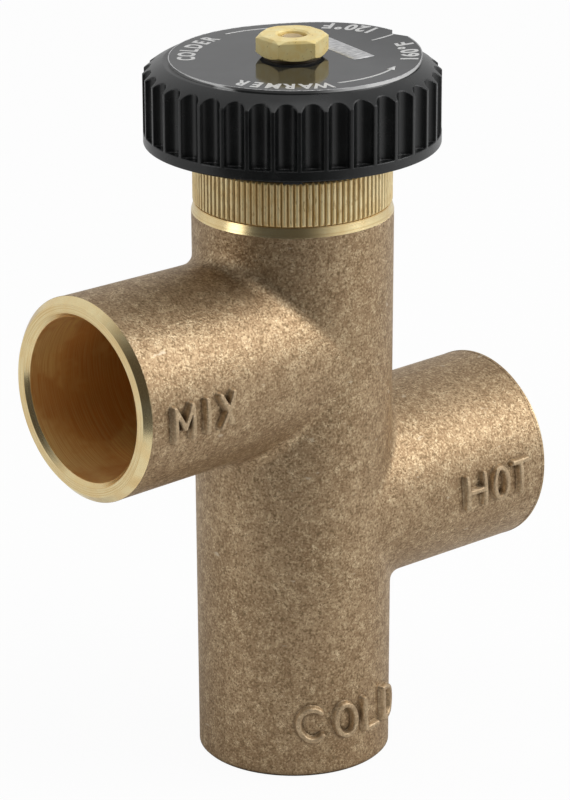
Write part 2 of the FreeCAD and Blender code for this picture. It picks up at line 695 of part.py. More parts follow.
def seat_ring():
    """Screwed into the web. Hot seat on top, cold seat below, and a guide for the stem."""
    shell = turned(
        [
            (SEAT_BORE_RADIUS, web_bottom_z),
            (SEAT_SKIRT_RADIUS, web_bottom_z),
            (SEAT_SKIRT_RADIUS, web_top_z),
            (SEAT_FLANGE_RADIUS, web_top_z),
            (SEAT_FLANGE_RADIUS, seat_top_z),
            (SEAT_BORE_RADIUS, seat_top_z),
        ]
    )
    guide = spider(
        SEAT_HUB_RADIUS,
        STEM_RADIUS + RUNNING,
        SEAT_BORE_RADIUS + LOOSE,
        SEAT_ARM_WIDTH,
        web_bottom_z + LOOSE,
        web_bottom_z + LOOSE + SEAT_ARM_HEIGHT,
    )
    seal_space = groove(
        SEAT_SKIRT_RADIUS - 2 * SEAT_SEAL_SECTION,
        SEAT_SKIRT_RADIUS + LOOSE,
        SEAT_SEAL_SECTION,
        seat_seal_height(),
    )
    skirt_space = seal_space.common(cylinder(SEAT_SKIRT_RADIUS + LOOSE, web_bottom_z, web_top_z))
    return shell.fuse(guide).cut(skirt_space)


def seat_seal_height():
    return web_top_z - 3 * SEAT_SEAL_SECTION


def seat_ring_seal():
    return seal(SEAT_SKIRT_RADIUS - 2 * SEAT_SEAL_SECTION, SEAT_SEAL_SECTION, seat_seal_height())


def return_spring():
    return coil_spring(
        RETURN_SPRING_RADIUS - RETURN_WIRE_RADIUS,
        RETURN_WIRE_RADIUS,
        web_bottom_z + LOOSE + SEAT_ARM_HEIGHT + SEAL_RELIEF,
        spider_bottom_z - SEAL_RELIEF,
        RETURN_TURNS,
    )


def shuttle_seal_height():
    """The seal stays on the land from the highest to the lowest position of the shuttle."""
    return land_top_z - screw_travel - TRAVEL_SPARE - 2 * SHUTTLE_SEAL_SECTION


def shuttle_groove_floor():
    return SHUTTLE_RADIUS - 2 * SHUTTLE_SEAL_SECTION


def shuttle_sleeve():
    """A sleeve with a throttling rim below, a seal groove, and a windowed crown above."""
    seal_z = shuttle_seal_height()
    thick = 3 * SHUTTLE_SEAL_SECTION
    crown_outer = land_radius - LOOSE
    inner_thick = shuttle_groove_floor() - SHUTTLE_GROOVE_WALL
    ring_bore = BULB_RADIUS + LOOSE
    solid = turned(
        [
            (SHUTTLE_RADIUS - SHUTTLE_RIM_WIDTH, rim_z),
            (SHUTTLE_RADIUS, rim_z),
            (SHUTTLE_RADIUS, crown_window_z),
            (crown_outer, crown_window_z),
            (crown_outer, shuttle_top_z),
            (ring_bore, shuttle_top_z),
            (ring_bore, crown_ring_z),
            (inner_thick, crown_ring_z - SHUTTLE_WALL),
            (inner_thick, seal_z - thick),
            (shuttle_bore_radius, seal_z - 2 * thick),
            (shuttle_bore_radius, rim_z + SHUTTLE_RIM_WIDTH),
        ]
    )
    arms = spider(
        SHUTTLE_HUB_RADIUS,
        STEM_RADIUS + SEAL_RELIEF,
        shuttle_bore_radius + LOOSE,
        SEAT_ARM_WIDTH,
        spider_bottom_z,
        spider_top_z,
    )
    window_turn = math.degrees(math.pi / SPIDER_ARM_COUNT)
    window_width = 2 * crown_outer * math.sin(math.pi / SPIDER_ARM_COUNT) - CROWN_POST_WIDTH
    window = bar(BULB_RADIUS / 2, 2 * crown_outer, window_width, crown_window_z, crown_ring_z)
    windows = around(window, SPIDER_ARM_COUNT, window_turn)
    seal_space = groove(
        shuttle_groove_floor() - SEAL_RELIEF, SHUTTLE_RADIUS + LOOSE, SHUTTLE_SEAL_SECTION, seal_z
    )
    return solid.fuse(arms).cut(windows + [seal_space])


def shuttle_seal():
    return seal(shuttle_groove_floor(), SHUTTLE_SEAL_SECTION, shuttle_seal_height())


def thermostat_element():
    """The sealed wax element: bulb below, crimped flange on the crown, piston guide above."""
    bulb_bottom_z = shuttle_top_z - BULB_LENGTH
    corner = BULB_RADIUS / 3
    solid = turned(
        [
            (0, bulb_bottom_z),
            (BULB_RADIUS - corner, bulb_bottom_z),
            (BULB_RADIUS, bulb_bottom_z + corner),
            (BULB_RADIUS, shuttle_top_z),
            (ELEMENT_FLANGE_RADIUS, shuttle_top_z),
            (ELEMENT_FLANGE_RADIUS, element_flange_top_z - LOOSE),
            (ELEMENT_FLANGE_RADIUS - LOOSE, element_flange_top_z),
            (GUIDE_RADIUS + LOOSE, element_flange_top_z),
            (GUIDE_RADIUS - LOOSE, guide_top_z),
            (0, guide_top_z),
        ]
    )
    return solid.cut(cylinder(PISTON_RADIUS + RUNNING, piston_bottom_z, guide_top_z))


def thermostat_piston():
    """The polished rod that the wax drives out of the element."""
    return cylinder(PISTON_RADIUS, piston_bottom_z + SEAL_RELIEF, piston_top_z)


def valve_stem():
    """Carries the cold disc below the seat ring. Its foot is riveted over."""
    disc_bottom_z = cold_washer_top_z - COLD_DISC_THICKNESS
    return turned(
        [
            (0, disc_bottom_z - STEM_HEAD_HEIGHT),
            (STEM_HEAD_RADIUS, disc_bottom_z - STEM_HEAD_HEIGHT),
            (STEM_HEAD_RADIUS, disc_bottom_z - SEAL_RELIEF),
            (STEM_RADIUS, disc_bottom_z - SEAL_RELIEF),
            (STEM_RADIUS, spider_top_z),
            (0, spider_top_z),
        ]
    )


def cold_disc():
    """A dished disc with a rebate for its washer."""
    low = cold_washer_top_z - COLD_DISC_THICKNESS
    step = cold_washer_top_z - COLD_WASHER_THICKNESS
    washer_bore = STEM_HEAD_RADIUS + LOOSE
    bore = STEM_RADIUS + SEAL_RELIEF
    return turned(
        [
            (bore, low),
            (COLD_DISC_RADIUS, low),
            (COLD_DISC_RADIUS, step),
            (washer_bore, step),
            (washer_bore, cold_washer_top_z),
            (bore, cold_washer_top_z),
        ]
    )


def cold_disc_washer():
    low = cold_washer_top_z - COLD_WASHER_THICKNESS + SEAL_RELIEF
    return ring(COLD_DISC_RADIUS, STEM_HEAD_RADIUS + LOOSE + SEAL_RELIEF, low, cold_washer_top_z)


# ---------------------------------------------------------------- the whole valve
def pieces():
    return {
        "valve_body": valve_body(),
        "bonnet": bonnet(),
        "bonnet_seal": bonnet_seal(),
        "stop_pin": stop_pin(),
        "seat_ring": seat_ring(),
        "seat_ring_seal": seat_ring_seal(),
        "return_spring": return_spring(),
        "thermostat_piston": thermostat_piston(),
        "spindle": spindle(),
        "spindle_seal_lower": spindle_seal(stem_seal_lower_z),
        "spindle_seal_upper": spindle_seal(stem_seal_upper_z),
        "retaining_ring": retaining_ring(),
        "overload_spring": overload_spring(),
        "pusher": pusher(),
        "knob": knob(),
        "dial_plate": dial_plate(),
        "knob_nut": knob_nut(),
        "shuttle_sleeve": shuttle_sleeve(),
        "shuttle_seal": shuttle_seal(),
        "thermostat_element": thermostat_element(),
        "valve_stem": valve_stem(),
        "cold_disc": cold_disc(),
        "cold_disc_washer": cold_disc_washer(),
    }


def main():
    os.makedirs("parts", exist_ok=True)
    for name, shape in pieces().items():
        shape.exportStep(os.path.join("parts", name + ".step"))


main()
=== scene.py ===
"""Looks of a cast bronze thermostatic mixing valve: finishes, raised cast letters and the dial's print.

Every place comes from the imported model: the mounts in its record, its boxes and its surfaces.
Lengths are named in millimetres and turned into metres with MM.
"""

import json
import math

import bpy
import numpy as np
from mathutils import Matrix, Vector
from mathutils.bvhtree import BVHTree


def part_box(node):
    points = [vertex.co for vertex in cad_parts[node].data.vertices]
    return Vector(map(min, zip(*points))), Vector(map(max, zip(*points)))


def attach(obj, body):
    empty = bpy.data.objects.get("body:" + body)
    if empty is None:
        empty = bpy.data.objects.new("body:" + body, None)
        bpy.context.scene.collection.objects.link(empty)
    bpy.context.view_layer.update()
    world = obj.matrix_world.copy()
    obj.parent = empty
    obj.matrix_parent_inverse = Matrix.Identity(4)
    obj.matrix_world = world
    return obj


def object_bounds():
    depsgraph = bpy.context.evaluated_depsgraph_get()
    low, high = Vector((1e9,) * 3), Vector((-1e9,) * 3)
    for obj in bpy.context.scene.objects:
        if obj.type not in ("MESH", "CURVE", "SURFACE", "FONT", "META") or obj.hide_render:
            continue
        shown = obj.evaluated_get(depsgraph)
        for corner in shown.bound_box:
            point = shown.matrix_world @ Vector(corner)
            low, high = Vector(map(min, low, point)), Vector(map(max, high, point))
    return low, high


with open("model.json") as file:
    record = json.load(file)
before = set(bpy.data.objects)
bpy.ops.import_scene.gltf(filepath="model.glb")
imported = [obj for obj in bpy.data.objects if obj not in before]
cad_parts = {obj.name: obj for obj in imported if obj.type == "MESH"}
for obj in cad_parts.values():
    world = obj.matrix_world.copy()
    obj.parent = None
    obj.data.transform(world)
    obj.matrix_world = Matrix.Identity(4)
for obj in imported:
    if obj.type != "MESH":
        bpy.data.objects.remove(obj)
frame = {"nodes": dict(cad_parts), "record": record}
cad_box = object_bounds()

MM = 0.001

# Camera: azimuth and elevation of the line from the object to the camera, and the point it aims at
CAMERA_AZIMUTH_DEG = -41.37
CAMERA_ELEVATION_DEG = 20.02
CAMERA_ROLL_DEG = -0.19
CAMERA_DISTANCE = 566.8 * MM
CAMERA_AIM_RIGHT = -1.11 * MM
CAMERA_AIM_HEIGHT = 50.6 * MM
CAMERA_LENS = 186.1
CAMERA_SENSOR = 36.0

# Soft boxes: azimuth, elevation, distance and size, and how bright each looks (1 is white)
SOFT_BOXES = {
    "key_right": (46.0, 32.0, 0.85, (0.45, 0.55), 3.7),
    "left": (-108.0, 12.0, 0.90, (0.30, 0.60), 2.0),
    "top": (-10.0, 82.0, 0.80, (0.50, 0.50), 0.8),
    "front_high": (2.0, 60.0, 0.80, (0.16, 0.14), 4.5),
}
STUDIO_DARK_AZIMUTH_DEG = -60.0            # the unlit side of the studio, where the photographer stands
STUDIO_DARK_SPREAD = (0.20, 0.85)          # cosines from that side at which the wall is pale and is dark
STUDIO_DARK = 0.06
STUDIO_LIGHT = 0.66
FLOOR_HALF = 1.0                           # the table reaches this far back and to the sides
FLOOR_FRONT = 0.15                         # and this far in front of the object
FLOOR_WHITE_SHARE = 0.95                   # the rest of the floor's look is real light and shadow

# Raised letters of the casting
LETTER_PROUD = 0.85 * MM
LETTER_FOOT_WIDTH = 1.15 * MM
LETTER_TOP_WIDTH = 0.50 * MM
LETTER_SKIRT = 0.25 * MM                   # rim of each letter that dips below the surface
LETTER_SINK = 0.35 * MM                    # how deep the letter's back lies in the casting
LETTER_GRID = 0.11 * MM
LETTER_LEAN = -0.07                        # the tops lean back by this share of the height
RAY_START = 30.0 * MM                      # outside the casting, for finding its surface

# Machined mouths of the two branches, fitted over the frame's
MOUTH_RINGS = {"mix_port": 0.45 * MM, "hot_port": 0.80 * MM}   # how far each stands out beyond the frame's
RING_CHAMFER = 0.9 * MM
RING_LEAD_IN = 0.6 * MM
RING_PROUD = 0.04 * MM                     # over the casting round it
RING_LAP = 0.55 * MM                       # how far each reaches back along the casting
RING_BACK_INSET = 2.2 * MM                 # the hidden corner inside the casting's wall
RING_BACK_DEPTH = 0.825 * MM
RING_STEPS = 128
RING_SHARP_DEG = 25.0

# Where the casting is machined, and the painted shade in its corners
BORE_SPARE = 0.3 * MM
MOUTH_SPARE = 0.03 * MM
MOUTH_MACHINED = {"cold_port": 0.03 * MM, "hot_port": 0.12 * MM, "mix_port": 0.42 * MM}
TOP_MACHINED = 1.33 * MM
# reach of the ambient occlusion that paints shade into the corners and the letters' feet
PAINTED_SHADE_REACH = 1.0 * MM
LETTERS_RUBBED_AND_LIT = 0.3                       # how far the raised letters are lifted toward bright metal: partly rubbed wear, partly a painted highlight for their lit crests
WASHER_FACE = 0.42 * MM                    # height of the step under the nut, painted dark as the shadow beneath it

# Dial print, in the plate's own frame: the symmetry line points at the notch
DIAL_SYMMETRY_DEG = -9.2
PRINT_RADIUS = 15.25 * MM
PRINT_PROUD = 0.02 * MM
PRINT_HALF_THICKNESS = 0.015 * MM
PRINT_LINE_WIDTH = 0.32 * MM
PRINT_TALL = 2.25 * MM
PRINT_WEIGHT = 0.035                       # added to the strokes of the built-in font, for size 1
CAP_HEIGHT = 0.70                          # of the built-in font at size 1
RIM_WIRE_RADIUS = 0.07 * MM                # bright burr along the dial's cut edge
RIM_WIRE_SUNK = 0.6                        # share of that radius by which it lies below the dial's top
NOTCH_DEG = (-16.0, -1.5)                  # the dial's notch, from its centre


# ---------------------------------------------------------------- node graphs

class Graph:
    """One material's node graph, with a method for each kind of node that the finishes use."""

    def __init__(self, name):
        self.material = bpy.data.materials.new(name)
        self.material.use_nodes = True
        self.tree = self.material.node_tree
        self.shader = self.tree.nodes["Principled BSDF"]
        self.place = self.node("ShaderNodeTexCoord").outputs["Object"]

    def feed(self, socket, value):
        if isinstance(value, bpy.types.NodeSocket):
            self.tree.links.new(value, socket)
        else:
            socket.default_value = value

    def node(self, kind, inputs=(), **settings):
        made = self.tree.nodes.new(kind)
        for name, value in settings.items():
            setattr(made, name, value)
        for name, value in dict(inputs).items():
            self.feed(made.inputs[name], value)
        return made

    def math(self, operation, first, second=0.0, third=0.0):
        inputs = {0: first, 1: second}
        if operation in ("MULTIPLY_ADD", "COMPARE", "SMOOTH_MIN", "SMOOTH_MAX"):
            inputs[2] = third
        return self.node("ShaderNodeMath", inputs, operation=operation).outputs[0]

    def vector(self, operation, first, second=(0.0, 0.0, 0.0)):
        made = self.node("ShaderNodeVectorMath", {0: first, 1: second}, operation=operation)
        return made.outputs["Value" if operation in ("DOT_PRODUCT", "LENGTH") else "Vector"]

    def axes(self, vector):
        return self.node("ShaderNodeSeparateXYZ", {0: vector}).outputs

    def stretched(self, scale):
        """The place, with each axis scaled, for marks that run one way."""
        return self.vector("MULTIPLY", self.place, scale)

    def noise(self, size, detail=3.0, roughness=0.6, place=None, distortion=0.0):
        """Noise whose features are about this size in metres, from 0 to 1."""
        inputs = {
            "Vector": place or self.place, "Scale": 1.0 / size, "Detail": detail,
            "Roughness": roughness, "Distortion": distortion,
        }
        return self.node("ShaderNodeTexNoise", inputs).outputs["Fac"]

    def steps(self, value, low, high):
        """0 below low, 1 above high and smooth between them."""
        inputs = {"Value": value, "From Min": low, "From Max": high}
        return self.node("ShaderNodeMapRange", inputs, interpolation_type="SMOOTHSTEP").outputs[0]

    def span(self, value, low, high):
        """A value from 0 to 1 spread to low and high."""
        inputs = {"Value": value, "To Min": low, "To Max": high}
        return self.node("ShaderNodeMapRange", inputs).outputs[0]

    def mix(self, share, first, second):
        made = self.node("ShaderNodeMix", data_type="RGBA")
        for name, value in (("Factor_Float", share), ("A_Color", first), ("B_Color", second)):
            socket = [s for s in made.inputs if s.identifier == name][0]
            if isinstance(value, tuple) and len(value) == 3:
                value = (*value, 1.0)
            self.feed(socket, value)
        return [s for s in made.outputs if s.identifier == "Result_Color"][0]

    def bump(self, height, depth, normal=None):
        inputs = {"Height": height, "Distance": depth, "Strength": 1.0}
        if normal is not None:
            inputs["Normal"] = normal
        return self.node("ShaderNodeBump", inputs).outputs["Normal"]

    def finish(self, **sockets):
        for name, value in sockets.items():
            socket = self.shader.inputs[name.replace("_", " ")]
            if isinstance(value, tuple) and len(value) == 3:
                value = (*value, 1.0)
            self.feed(socket, value)
        return self.material


# ---------------------------------------------------------------- metals

def port_masks(graph):
    """Masks of the machined mouths and of the turned bores at the mounts, and a turning coordinate."""
    mouths, bores, turning = 0.0, 0.0, 0.0
    for mount in frame["record"]["mounts"]:
        axis = tuple(float(x) for x in mount["axis"])
        offset = graph.vector("SUBTRACT", graph.place, tuple(mount["pos_m"]))
        along = graph.vector("DOT_PRODUCT", offset, axis)
        radius = graph.vector("LENGTH", graph.vector("CROSS_PRODUCT", offset, axis))
        reach = mount["dims"]["r_mm"] * MM + BORE_SPARE
        depth = mount["dims"]["length_mm"] * MM + 2.0 * BORE_SPARE
        inside = graph.math("LESS_THAN", radius, reach)
        outside = graph.math("GREATER_THAN", radius, mount["dims"]["r_mm"] * MM + MOUTH_SPARE)
        shallow = graph.math("GREATER_THAN", along, -depth)
        bore = graph.math("MULTIPLY", inside, shallow)
        mouth = graph.math("GREATER_THAN", along, -MOUTH_MACHINED[mount["name"]])
        mouth = graph.math("MULTIPLY", mouth, outside)
        turned = graph.math("MAXIMUM", mouth, bore)
        turning = graph.math("MULTIPLY_ADD", turned, graph.math("ADD", along, radius), turning)
        mouths = graph.math("MAXIMUM", mouths, mouth)
        bores = graph.math("MAXIMUM", bores, bore)
    return mouths, bores, turning


def cast_bronze(name="cast_bronze", rubbed_and_lit=0.0):
    """Sand-cast bronze: fine tan speckle, with turned mouths and top edge, and turned sockets in a diffuse
    amber that is partly the brass and partly painted light bounced between their walls.

    The last argument is how far the colour is lifted toward bright metal, from 0 to 1: partly rubbed wear,
    partly a painted highlight.
    """
    graph = Graph(name)
    grain = graph.noise(0.34 * MM, detail=2.0, roughness=0.65)
    mottle = graph.noise(1.4 * MM, detail=5.0, roughness=0.65)
    patches = graph.noise(11.0 * MM, detail=3.0, roughness=0.5)
    scars = graph.noise(2.6 * MM, detail=3.0, roughness=0.5, place=graph.stretched((1.0, 1.0, 2.2)))
    curls = graph.noise(0.85 * MM, detail=2.0, distortion=1.5)
    curls = graph.math("ABSOLUTE", graph.math("SUBTRACT", curls, 0.5))
    curls = graph.math("MULTIPLY", graph.steps(curls, 0.040, 0.012), graph.steps(mottle, 0.50, 0.62))

    colour = graph.mix(graph.steps(patches, 0.30, 0.70), (0.400, 0.278, 0.160), (0.480, 0.342, 0.205))
    colour = graph.mix(graph.steps(mottle, 0.56, 0.30), colour, (0.340, 0.226, 0.128))
    colour = graph.mix(graph.steps(grain, 0.49, 0.34), colour, (0.250, 0.172, 0.094))
    # pale flecks and curls: partly pale metal in the sand grain, partly painted glints
    colour = graph.mix(graph.steps(grain, 0.54, 0.66), colour, (0.60, 0.46, 0.285))
    colour = graph.mix(curls, colour, (0.76, 0.61, 0.40))
    colour = graph.mix(graph.steps(scars, 0.70, 0.76), colour, (0.60, 0.49, 0.35))
    # painted highlight: the raised letters' colour is lifted toward bright metal for their lit crests,
    # partly also rubbed wear
    colour = graph.mix(rubbed_and_lit, colour, (0.80, 0.64, 0.43))
    # painted shade: where ambient occlusion finds the surface hemmed in, at the letters' feet and in the
    # fillets, the colour goes dark brown
    openness = graph.node("ShaderNodeAmbientOcclusion", {"Distance": PAINTED_SHADE_REACH}, samples=8).outputs["AO"]
    colour = graph.mix(graph.steps(openness, 0.90, 0.50), colour, (0.085, 0.055, 0.030))

    mouths, bores, turning = port_masks(graph)
    height = graph.axes(graph.place)[2]
    top_edge = graph.math("GREATER_THAN", height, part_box("valve_body")[1].z - TOP_MACHINED)
    turning = graph.math("MULTIPLY_ADD", top_edge, height, turning)
    mouths = graph.math("MAXIMUM", mouths, top_edge)
    slow_height = graph.math("MULTIPLY", height, 0.02)
    marks = graph.node("ShaderNodeCombineXYZ", {0: turning, 1: slow_height}).outputs[0]
    turned = graph.noise(0.16 * MM, detail=2.0, place=marks)
    smear = graph.noise(3.0 * MM, detail=3.0)
    bright = graph.mix(graph.steps(smear, 0.3, 0.7), (0.96, 0.74, 0.38), (1.0, 0.84, 0.48))
    bright = graph.mix(graph.steps(turned, 0.55, 0.35), bright, (0.84, 0.60, 0.28))
    # partly painted reflection: the sockets' amber, made less metallic, stands for the light bounced
    # between their brass walls as well as for the brass itself
    stains = graph.noise(7.0 * MM, detail=3.0)
    bore_amber_and_bounce = graph.mix(graph.steps(stains, 0.42, 0.58), (0.78, 0.42, 0.14), (1.0, 0.76, 0.32))
    bore_amber_and_bounce = graph.mix(graph.steps(turned, 0.60, 0.38), bore_amber_and_bounce, (0.86, 0.56, 0.22))
    colour = graph.mix(bores, colour, bore_amber_and_bounce)
    colour = graph.mix(mouths, colour, bright)

    machined = graph.math("MAXIMUM", mouths, bores)
    sandy = graph.span(grain, 0.60, 0.42)
    smooth = graph.span(turned, 0.20, 0.28)
    sandy_share = graph.math("SUBTRACT", 1.0, machined)
    roughness = graph.math("MULTIPLY_ADD", sandy, sandy_share, graph.math("MULTIPLY", smooth, machined))
    bore_share = graph.math("MULTIPLY", bores, graph.math("SUBTRACT", 1.0, mouths))
    metallic = graph.math("MULTIPLY_ADD", bore_share, -0.55, 0.97)
    roughness = graph.math("MULTIPLY_ADD", bore_share, 0.08, roughness)
    relief = graph.math("MULTIPLY_ADD", mottle, 0.8, grain)
    normal = graph.bump(graph.math("MULTIPLY", relief, sandy_share), 0.065 * MM)
    normal = graph.bump(graph.math("MULTIPLY", turned, machined), 0.006 * MM, normal)
    return graph.finish(Base_Color=colour, Roughness=roughness, Metallic=metallic, Normal=normal)


def turned_brass(name, dark, bright, roughness):
    """Lathe-turned brass: fine rings round the vertical axis, with faint stains."""
    graph = Graph(name)
    rings = graph.noise(0.14 * MM, detail=2.0, place=graph.stretched((0.08, 0.08, 1.0)))
    stains = graph.noise(2.4 * MM, detail=4.0)
    colour = graph.mix(graph.steps(stains, 0.3, 0.7), dark, bright)
    colour = graph.mix(graph.steps(rings, 0.55, 0.35), colour, tuple(0.75 * c for c in dark))
    normal = graph.bump(rings, 0.004 * MM)
    gloss = graph.span(stains, roughness + 0.08, roughness - 0.05)
    return graph.finish(Base_Color=colour, Metallic=1.0, Roughness=gloss, Normal=normal)


def knurled_brass():
    """The bonnet: bright crests, and grooves painted darker for their shade, with some dirt."""
    graph = Graph("knurled_brass")
    radius = graph.vector("LENGTH", graph.stretched((1.0, 1.0, 0.0)))
    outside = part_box("bonnet")[1].x
    crest = graph.steps(radius, outside - 0.32 * MM, outside - 0.05 * MM)
    wear = graph.noise(0.35 * MM, detail=2.0, place=graph.stretched((1.0, 1.0, 0.3)))
    stains = graph.noise(3.5 * MM, detail=3.0)
    bright = graph.mix(graph.steps(stains, 0.35, 0.65), (0.92, 0.70, 0.34), (1.0, 0.83, 0.47))
    bright = graph.mix(graph.steps(wear, 0.46, 0.30), bright, (0.74, 0.54, 0.25))
    # painted shade: the colour darkens from the crests down into the grooves, for the shade there as well
    # as some dirt
    colour = graph.mix(crest, (0.50, 0.33, 0.13), bright)
    roughness = graph.span(crest, 0.52, 0.40)
    rounded = graph.node("ShaderNodeBevel", {"Radius": 0.22 * MM}, samples=8).outputs[0]
    normal = graph.bump(wear, 0.008 * MM, rounded)
    return graph.finish(Base_Color=colour, Metallic=0.70, Roughness=roughness, Normal=normal)


def nut_brass():
    """Bright milled brass with worn edges and a few nicks, and a painted shadow on the washer face below.
    """
    graph = Graph("nut_brass")
    milling = graph.noise(0.20 * MM, detail=2.0, place=graph.stretched((1.0, 1.0, 0.10)))
    stains = graph.noise(1.6 * MM, detail=4.0)
    nicks = graph.noise(0.45 * MM, detail=2.0)
    colour = graph.mix(graph.steps(stains, 0.3, 0.7), (0.95, 0.73, 0.28), (1.0, 0.85, 0.42))
    colour = graph.mix(graph.steps(nicks, 0.36, 0.26), colour, (0.55, 0.38, 0.13))
    # painted shadow: the washer face below the nut is coloured near black for the shade beneath it
    shaded_washer_face = graph.math("LESS_THAN", graph.axes(graph.place)[2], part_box("knob_nut")[0].z + WASHER_FACE)
    colour = graph.mix(shaded_washer_face, colour, (0.10, 0.07, 0.035))
    roughness = graph.span(stains, 0.46, 0.34)
    edges = graph.node("ShaderNodeBevel", {"Radius": 0.16 * MM}, samples=6).outputs[0]
    normal = graph.bump(milling, 0.006 * MM, edges)
    normal = graph.bump(graph.steps(nicks, 0.24, 0.34), 0.02 * MM, normal)
    return graph.finish(Base_Color=colour, Metallic=0.15, Roughness=roughness, Normal=normal)


def stainless():
    """Drawn stainless steel with a fine brushed grain."""
    graph = Graph("stainless")
    brushed = graph.noise(0.15 * MM, detail=3.0, place=graph.stretched((1.0, 1.0, 0.15)))
    colour = graph.mix(graph.steps(brushed, 0.3, 0.7), (0.42, 0.42, 0.40), (0.60, 0.60, 0.58))
    roughness = graph.span(brushed, 0.36, 0.24)
    normal = graph.bump(brushed, 0.003 * MM)
    return graph.finish(Base_Color=colour, Metallic=1.0, Roughness=roughness, Normal=normal)


# ---------------------------------------------------------------- plastic, rubber and print

def black_plastic():
    """Glossy moulded plastic with softened edges and a faint dusty bloom."""
    graph = Graph("black_plastic")
    bloom = graph.noise(4.0 * MM, detail=4.0)
    dust = graph.noise(0.30 * MM, detail=2.0)
    colour = graph.mix(graph.steps(bloom, 0.35, 0.7), (0.0055, 0.0062, 0.0064), (0.011, 0.012, 0.012))
    colour = graph.mix(graph.steps(dust, 0.74, 0.80), colour, (0.06, 0.06, 0.058))
    roughness = graph.span(bloom, 0.20, 0.32)
    edges = graph.node("ShaderNodeBevel", {"Radius": 0.30 * MM}, samples=6).outputs[0]
    normal = graph.bump(graph.noise(1.1 * MM, detail=2.0), 0.006 * MM, edges)
    return graph.finish(Base_Color=colour, Roughness=roughness, Normal=normal, IOR=1.5)


def seal_rubber():
    """Matt black rubber."""
    graph = Graph("seal_rubber")
    bloom = graph.noise(1.5 * MM, detail=4.0)
    colour = graph.mix(bloom, (0.012, 0.012, 0.012), (0.035, 0.034, 0.033))
    normal = graph.bump(graph.noise(0.12 * MM), 0.01 * MM)
    return graph.finish(Base_Color=colour, Roughness=graph.span(bloom, 0.55, 0.75), Normal=normal)


def dial_finish():
    """The dial: gloss black on its face, bare bright metal round the cut edge and below."""
    graph = Graph("dial_finish")
    upward = graph.axes(graph.node("ShaderNodeTexCoord").outputs["Normal"])[2]
    face = graph.steps(upward, 0.80, 0.95)
    haze = graph.noise(3.0 * MM, detail=4.0)
    specks = graph.noise(0.28 * MM, detail=2.0)
    black = graph.mix(graph.steps(haze, 0.35, 0.7), (0.010, 0.011, 0.012), (0.020, 0.021, 0.023))
    black = graph.mix(graph.steps(specks, 0.72, 0.78), black, (0.14, 0.14, 0.14))
    bare = graph.mix(haze, (0.55, 0.55, 0.55), (0.72, 0.72, 0.71))
    colour = graph.mix(face, bare, black)
    metallic = graph.math("SUBTRACT", 1.0, face)
    roughness = graph.span(haze, 0.07, 0.13)
    waviness = graph.noise(5.0 * MM, detail=1.0)
    normal = graph.bump(waviness, 0.012 * MM)
    return graph.finish(Base_Color=colour, Metallic=metallic, Roughness=roughness, Normal=normal, IOR=1.48)


def print_finish():
    """The pale print: thin, slightly worn, satin."""
    graph = Graph("print_finish")
    wear = graph.noise(0.35 * MM, detail=3.0)
    colour = graph.mix(graph.steps(wear, 0.36, 0.24), (0.72, 0.72, 0.71), (0.36, 0.36, 0.36))
    roughness = graph.span(wear, 0.45, 0.30)
    normal = graph.bump(wear, 0.003 * MM)
    return graph.finish(Base_Color=colour, Metallic=0.35, Roughness=roughness, Normal=normal)


def bare_panel_finish():
    """The dial's bare metal panel: brushed, with scratches across it."""
    graph = Graph("bare_panel_finish")
    turn = math.radians(DIAL_SYMMETRY_DEG)
    across = graph.vector("DOT_PRODUCT", graph.place, (math.cos(turn), math.sin(turn), 0.0))
    along = graph.vector("DOT_PRODUCT", graph.place, (-math.sin(turn), math.cos(turn), 0.0))
    slow_across = graph.math("MULTIPLY", across, 0.12)
    lined = graph.node("ShaderNodeCombineXYZ", {0: slow_across, 1: along}).outputs[0]
    brushed = graph.noise(0.22 * MM, detail=4.0, place=lined)
    colour = graph.mix(graph.steps(brushed, 0.35, 0.62), (0.40, 0.40, 0.41), (0.84, 0.84, 0.84))
    normal = graph.bump(brushed, 0.01 * MM)
    roughness = graph.span(brushed, 0.50, 0.34)
    return graph.finish(Base_Color=colour, Metallic=0.8, Roughness=roughness, Normal=normal)


def dress_frame():
    """Gives each CAD node its finish, by the slot that the record names for it."""
    finishes = {
        "cast_bronze": cast_bronze(),
        "machined_brass": turned_brass("turned_brass", (0.58, 0.41, 0.18), (0.74, 0.56, 0.29), 0.28),
        "nut_brass": nut_brass(),
        "black_plastic": black_plastic(),
        "printed_metal": dial_finish(),
        "stainless": stainless(),
        "seal_rubber": seal_rubber(),
    }
    for part in frame["record"]["subparts"]:
        dress(frame["nodes"][part["node"]], finishes[part["material_slot"]])
    dress(frame["nodes"]["bonnet"], knurled_brass())
    return finishes


def dress(piece, material):
    piece.data.materials.clear()
    piece.data.materials.append(material)


# ---------------------------------------------------------------- surfaces of the frame

def surface_of(node):
    """A tree for finding where a line meets a CAD node."""
    mesh = frame["nodes"][node].data
    return BVHTree.FromPolygons([v.co for v in mesh.vertices], [p.vertices for p in mesh.polygons])


def mesh_piece(name, vertices, faces, body, material):
    """A new mesh with smooth faces, riding on a body."""
    mesh = bpy.data.meshes.new(name)
    mesh.from_pydata([tuple(v) for v in vertices], [], faces)
    mesh.polygons.foreach_set("use_smooth", [True] * len(mesh.polygons))
    mesh.update()
    piece = bpy.data.objects.new(name, mesh)
    bpy.context.scene.collection.objects.link(piece)
    dress(piece, material)
    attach(piece, body)
    return piece


# ---------------------------------------------------------------- raised letters

def arc(centre, radii, from_deg, to_deg, steps=24):
    """Points of an ellipse's arc in a letter's own square."""
    angles = [math.radians(from_deg + (to_deg - from_deg) * i / steps) for i in range(steps + 1)]
    return [(centre[0] + radii[0] * math.cos(a), centre[1] + radii[1] * math.sin(a)) for a in angles]


